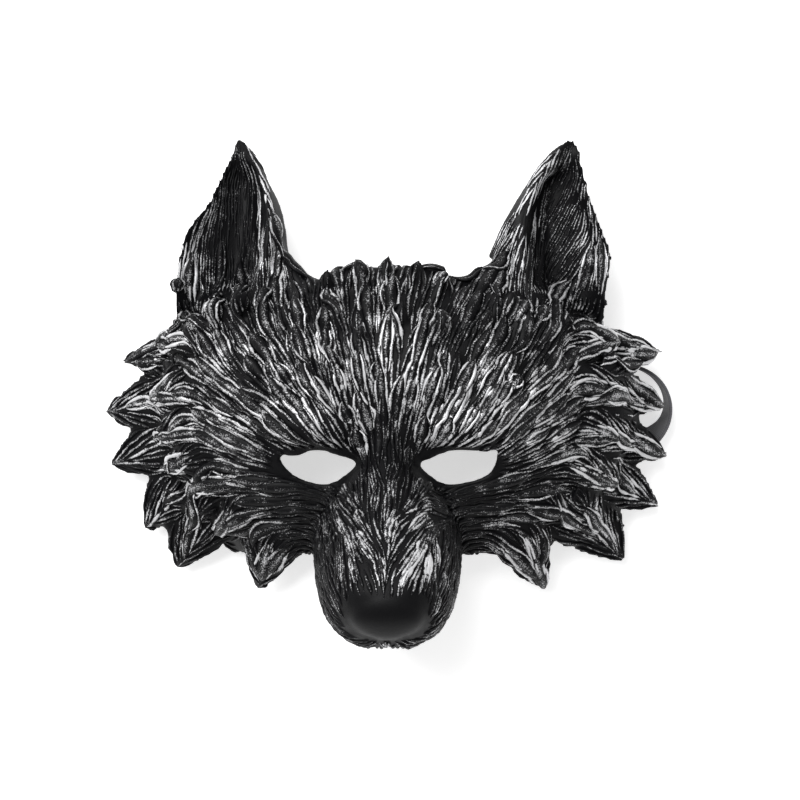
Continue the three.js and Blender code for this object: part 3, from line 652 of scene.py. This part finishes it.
def setInput(modifier, name, value):
    for item in modifier.node_group.interface.items_tree:
        if item.item_type == "SOCKET" and item.in_out == "INPUT" and item.name == name:
            modifier[item.identifier] = value


# Self-skinned polyurethane foam, black, with silver dragged over its high places by a nearly dry brush:
# the grooves stay dark and satin, the crests get broken, speckled lines with a dull metal gleam
foamPaint = {
    "black": "#08080a", "silver": "#d8d8da", "fleck": 0.6 * mm, "patch": 7 * mm, "blackGloss": 0.5,
    "silverGloss": 0.42, "metal": 0.45, "specular": 0.14, "grain": 0.2 * mm, "speckle": 1.5, "blotch": 0.7,
}


def foamDryBrushed():
    p = foamPaint
    material, tree, shader = blankMaterial("foamDryBrushed")
    crest = addNode(tree, "ShaderNodeAttribute", {"attribute_name": "crest"}).outputs["Fac"]
    silver = addNode(tree, "ShaderNodeAttribute", {"attribute_name": "silver"}).outputs["Fac"]
    place = tree.nodes.new("ShaderNodeTexCoord").outputs["Object"]
    fleck = addNode(tree, "ShaderNodeTexNoise", Vector=place, Scale=1 / p["fleck"], Detail=3.0,
                    Roughness=0.65)
    patch = addNode(tree, "ShaderNodeTexNoise", Vector=place, Scale=1 / p["patch"], Detail=2.0)
    broken = addNode(tree, "ShaderNodeMath", {"operation": "MULTIPLY_ADD"}, i0=fleck.outputs[0],
                     i1=p["speckle"], i2=-p["speckle"] / 2)
    uneven = addNode(tree, "ShaderNodeMath", {"operation": "MULTIPLY_ADD"}, i0=patch.outputs[0],
                     i1=p["blotch"], i2=-p["blotch"] / 2)
    level = addNode(tree, "ShaderNodeMath", {"operation": "ADD"}, i0=crest, i1=broken.outputs[0])
    level = addNode(tree, "ShaderNodeMath", {"operation": "ADD"}, i0=level.outputs[0], i1=uneven.outputs[0])
    wanted = addNode(tree, "ShaderNodeMath", {"operation": "MULTIPLY_ADD"}, i0=silver, i1=-0.62, i2=1.16)
    over = addNode(tree, "ShaderNodeMath", {"operation": "SUBTRACT"}, i0=level.outputs[0],
                   i1=wanted.outputs[0])
    paint = addNode(tree, "ShaderNodeMapRange", {"interpolation_type": "SMOOTHSTEP"}, Value=over.outputs[0],
                    From_Min=-0.05, From_Max=0.4).outputs[0]
    colour = addNode(tree, "ShaderNodeMix", {"data_type": "RGBA"}, i0=paint, i6=linear(p["black"]),
                     i7=linear(p["silver"]))
    metal = addNode(tree, "ShaderNodeMath", {"operation": "MULTIPLY"}, i0=paint, i1=p["metal"])
    gloss = addNode(tree, "ShaderNodeMapRange", Value=paint, To_Min=p["blackGloss"], To_Max=p["silverGloss"])
    grain = addNode(tree, "ShaderNodeBump", Height=fleck.outputs[0], Distance=p["grain"], Strength=0.6)
    tree.links.new(colour.outputs[2], shader.inputs["Base Color"])
    tree.links.new(metal.outputs[0], shader.inputs["Metallic"])
    tree.links.new(gloss.outputs[0], shader.inputs["Roughness"])
    tree.links.new(grain.outputs[0], shader.inputs["Normal"])
    shader.inputs["Specular IOR Level"].default_value = p["specular"]
    return material


foam = foamDryBrushed()
painted = [lockPaint(v.co, v.normal) for v in baseMesh.vertices]
shares = [1.25 * silverShare(v.co) if crest > 0 else 0 for v, crest in zip(baseMesh.vertices, painted)]
for name, values in (("crest", painted), ("silver", shares)):
    baseMesh.attributes.new(name, "FLOAT", "POINT").data.foreach_set("value", np.array(values, np.float32))
base.data.materials.clear()
base.data.materials.append(foam)
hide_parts("mask_shell")
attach(base, "root")

sweep = strandTree()
for name, rows in strands.items():
    lines = bpy.data.meshes.new(name + "_guides")
    lines.from_pydata(rows["points"], rows["edges"], [])
    for attribute, kind, values in (
        ("upward", "FLOAT_VECTOR", rows["upward"]),
        ("guide", "FLOAT_VECTOR", rows["points"]),
        ("girth", "FLOAT", rows["girth"]),
        ("silver", "FLOAT", rows["silver"]),
    ):
        made = lines.attributes.new(attribute, kind, "POINT")
        made.data.foreach_set("vector" if "VECTOR" in kind else "value", np.array(values, np.float32).ravel())
    carrier = linkObject(name + "_carrier", lines)
    modifier = carrier.modifiers.new("sweep", "NODES")
    modifier.node_group = sweep
    setInput(modifier, "Sides", 8)
    setInput(modifier, "Flatness", 0.9)
    setInput(modifier, "Finish", foam)
    fur = linkObject(name, evaluatedMesh(carrier, name))
    bpy.data.objects.remove(carrier)
    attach(fur, "root")
    print(name, len(fur.data.polygons), "faces")

# Route of the band's middle line, from the right rivet to the left one: across between the rivets,
# out beyond the right one, along the face, height towards the rivets, and lean from standing on edge
# (0) to lying flat (90)
strapRoute = [
    (1, 0, 0, 1, 0), (1, 0, -0.041, 0.95, 0), (1, 0, -0.082, 0.75, 0), (1, 0.122, -0.122, 0.3, 0),
    (1, 0.354, -0.153, 0, 0), (1, 0.585, -0.166, 0, 0), (1, 0.796, -0.187, 0, 0),
    (1, 0.943, -0.239, 0, 2), (1, 1, -0.306, 0, 5), (1, 0.954, -0.373, 0, 14),
    (1, 0.817, -0.425, 0, 34), (1, 0.585, -0.451, 0, 60), (1, 0.312, -0.455, 0, 82),
    (1, 0, -0.437, 0, 90), (0.631, 0, -0.373, 0, 90), (0, 0, -0.336, 0, 90), (-0.573, 0, -0.328, 0, 90),
    (-0.837, 0, -0.306, 0, 82), (-0.952, 0, -0.246, 0, 55), (-0.993, 0, -0.172, 0.3, 18),
    (-1, 0, -0.082, 0.75, 0), (-1, 0, -0.041, 0.95, 0), (-1, 0, 0, 1, 0),
]
band = {
    "width": 15, "thickness": 1.4, "halfSpan": 87.2, "reach": 47.5, "faceLength": 134, "endRise": 36,
    "endHeight": 15, "overhang": 7.5, "offset": (-0.7, -1.0), "rings": 220, "rounding": 16, "edge": 0.35,
}


def strapBand():
    b = band
    ends = [strapRoute[0], *strapRoute, strapRoute[-1]]
    rows = []
    for i, (across, beyond, along, rise, lean) in enumerate(ends):
        extra = b["overhang"] if i in (0, len(ends) - 1) else 0
        turn = math.radians(lean)
        resting = (b["width"] * math.cos(turn) + b["thickness"] * math.sin(turn)) / 2
        rows.append((
            across * b["halfSpan"] + beyond * b["reach"] + b["offset"][0],
            b["endRise"] + along * b["faceLength"] + extra + b["offset"][1],
            resting + rise * (b["endHeight"] - b["width"] / 2),
            lean,
        ))
    path = evenly(evenly(rows, b["rings"], 0), b["rings"], b["rounding"])
    ahead = np.gradient(path[:, :3], axis=0)
    ahead[:, 2] = 0
    ahead = unit(ahead)
    length = np.r_[0, np.cumsum(np.linalg.norm(np.diff(path[:, :3], axis=0), axis=1))]
    half, thick, edge = b["width"] / 2, b["thickness"] / 2, b["edge"]
    outline = [(-half, -thick + edge), (-half + edge, -thick)]
    outline += [(x, -thick) for x in np.linspace(-half + 1.2, half - 1.2, 9)]
    outline += [(half - edge, -thick), (half, -thick + edge)]
    outline += [(-x, -y) for x, y in outline]
    vertices, faces, alongs, acrosses = [], [], [], []
    for (x, y, z, lean), way, far in zip(path, ahead, length):
        turn = math.radians(lean)
        over = np.array((-way[1] * math.sin(turn), way[0] * math.sin(turn), math.cos(turn)))
        face = np.cross(way, over)
        for wide, deep in outline:
            vertices.append(tuple((np.array((x, y, z)) + over * wide + face * deep) * mm))
            alongs.append(far)
            acrosses.append(wide)
    n = len(outline)
    for i in range(len(path) - 1):
        for j in range(n):
            a, c = i * n + j, i * n + (j + 1) % n
            faces.append((a, c, c + n, a + n))
    faces.append(list(reversed(range(n))))
    faces.append(list(range((len(path) - 1) * n, len(path) * n)))
    mesh = bpy.data.meshes.new("strap_band")
    mesh.from_pydata(vertices, [], faces)
    for name, values in (("bandAlong", alongs), ("bandAcross", acrosses)):
        mesh.attributes.new(name, "FLOAT", "POINT").data.foreach_set("value", np.array(values, np.float32))
    mesh.shade_smooth()
    print("strap", round(float(length[-1])), "mm")
    return mesh


# Knitted elastic, dyed black and a little faded: matt, with fine cords along the band and rows of
# stitches across, with painted shade in the grooves between them and painted highlight on their tops
elasticKnit = {"dark": "#232326", "light": "#57575b", "cord": 1.25, "stitch": 1.0, "relief": 0.25 * mm,
               "fluff": 900.0}


def knittedElastic():
    k = elasticKnit
    material, tree, shader = blankMaterial("knittedElastic")
    along = addNode(tree, "ShaderNodeAttribute", {"attribute_name": "bandAlong"}).outputs["Fac"]
    across = addNode(tree, "ShaderNodeAttribute", {"attribute_name": "bandAcross"}).outputs["Fac"]
    turns = 2 * math.pi
    cordWave = addNode(tree, "ShaderNodeMath", {"operation": "MULTIPLY"}, i0=across, i1=turns / k["cord"])
    cord = addNode(tree, "ShaderNodeMath", {"operation": "COSINE"}, i0=cordWave.outputs[0]).outputs[0]
    stitchWave = addNode(tree, "ShaderNodeMath", {"operation": "MULTIPLY_ADD"}, i0=along,
                         i1=turns / k["stitch"], i2=cordWave.outputs[0])
    stitch = addNode(tree, "ShaderNodeMath", {"operation": "SINE"}, i0=stitchWave.outputs[0]).outputs[0]
    knit = addNode(tree, "ShaderNodeMath", {"operation": "MULTIPLY_ADD"}, i0=stitch, i1=0.5,
                   i2=cord).outputs[0]
    level = addNode(tree, "ShaderNodeMapRange", Value=knit, From_Min=-1.5, From_Max=1.5).outputs[0]
    place = tree.nodes.new("ShaderNodeTexCoord").outputs["Object"]
    fluff = addNode(tree, "ShaderNodeTexNoise", Vector=place, Scale=k["fluff"], Detail=2.0).outputs[0]
    # the knit's height sets its colour: painted shade in the grooves, painted highlight on cord and stitch
    # tops; the fluff adds faded fibres at random
    shade = addNode(tree, "ShaderNodeMath", {"operation": "MULTIPLY_ADD"}, i0=level, i1=0.75, i2=-0.1)
    shade = addNode(tree, "ShaderNodeMath", {"operation": "MULTIPLY_ADD", "use_clamp": True},
                    i0=fluff, i1=0.5, i2=shade.outputs[0])
    colour = addNode(tree, "ShaderNodeMix", {"data_type": "RGBA"}, i0=shade.outputs[0], i6=linear(k["dark"]),
                     i7=linear(k["light"]))
    bump = addNode(tree, "ShaderNodeBump", Height=level, Distance=k["relief"], Strength=0.7)
    tree.links.new(colour.outputs[2], shader.inputs["Base Color"])
    tree.links.new(bump.outputs[0], shader.inputs["Normal"])
    shader.inputs["Roughness"].default_value = 0.85
    shader.inputs["Sheen Weight"].default_value = 0.15
    return material


# Moulded black nylon: a soft gloss, and the faint orange peel of the mould
rivetNylon = {"black": "#101012", "gloss": 0.38, "peel": 0.5 * mm}


def mouldedNylon():
    material, tree, shader = blankMaterial("mouldedNylon")
    place = tree.nodes.new("ShaderNodeTexCoord").outputs["Object"]
    peel = addNode(tree, "ShaderNodeTexNoise", Vector=place, Scale=1 / rivetNylon["peel"],
                   Detail=2.0).outputs[0]
    bump = addNode(tree, "ShaderNodeBump", Height=peel, Distance=0.05 * mm, Strength=0.5)
    worn = addNode(tree, "ShaderNodeMapRange", Value=peel, To_Min=rivetNylon["gloss"] - 0.08,
                   To_Max=rivetNylon["gloss"] + 0.1)
    tree.links.new(bump.outputs[0], shader.inputs["Normal"])
    tree.links.new(worn.outputs[0], shader.inputs["Roughness"])
    shader.inputs["Base Color"].default_value = linear(rivetNylon["black"])
    return material


print("rivets and knitted band")
strap = linkObject("strap_band", strapBand())
strap.data.materials.append(knittedElastic())
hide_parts("head_strap")
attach(strap, "root")

nylon = mouldedNylon()
for name in ("strap_rivet_left", "strap_rivet_right"):
    nodes[name].data.materials.clear()
    nodes[name].data.materials.append(nylon)

# White paper and soft light
studio = {
    "paper": "#fafafa", "paperHalf": 9, "paperDrop": 0.5 * mm, "paperGlow": 0.58, "keyPower": 26,
    "keySize": 0.9, "keyPlace": (-0.5, 0.6, 1.4), "keyAim": (0, 0, 0.03), "skyStrength": 0.45,
}
half, drop = studio["paperHalf"], -studio["paperDrop"]
corners = [(x * half, y * half, drop) for x, y in ((-1, -1), (1, -1), (1, 1), (-1, 1))]
floor = linkObject("floor", bpy.data.meshes.new("floor"))
floor.data.from_pydata(corners, [], [(0, 1, 2, 3)])
paper, _, paperShader = blankMaterial("whitePaper")
paperShader.inputs["Base Color"].default_value = linear(studio["paper"])
paperShader.inputs["Roughness"].default_value = 0.9
paperShader.inputs["Emission Color"].default_value = (1, 1, 1, 1)
paperShader.inputs["Emission Strength"].default_value = studio["paperGlow"]
floor.data.materials.append(paper)
key = bpy.data.lights.new("key", "AREA")
key.energy = studio["keyPower"]
key.size = studio["keySize"]
keyObject = bpy.data.objects.new("key", key)
keyObject.location = studio["keyPlace"]
aim = Vector(studio["keyAim"]) - keyObject.location
keyObject.rotation_euler = aim.to_track_quat("-Z", "Y").to_euler()
bpy.context.scene.collection.objects.link(keyObject)
world = bpy.data.worlds.new("studio")
world.use_nodes = True
sky = world.node_tree.nodes["Background"]
sky.inputs["Color"].default_value = (1, 1, 1, 1)
sky.inputs["Strength"].default_value = studio["skyStrength"]
bpy.context.scene.world = world
print("paper and lights")
bpy.context.scene.view_settings.view_transform = "Standard"
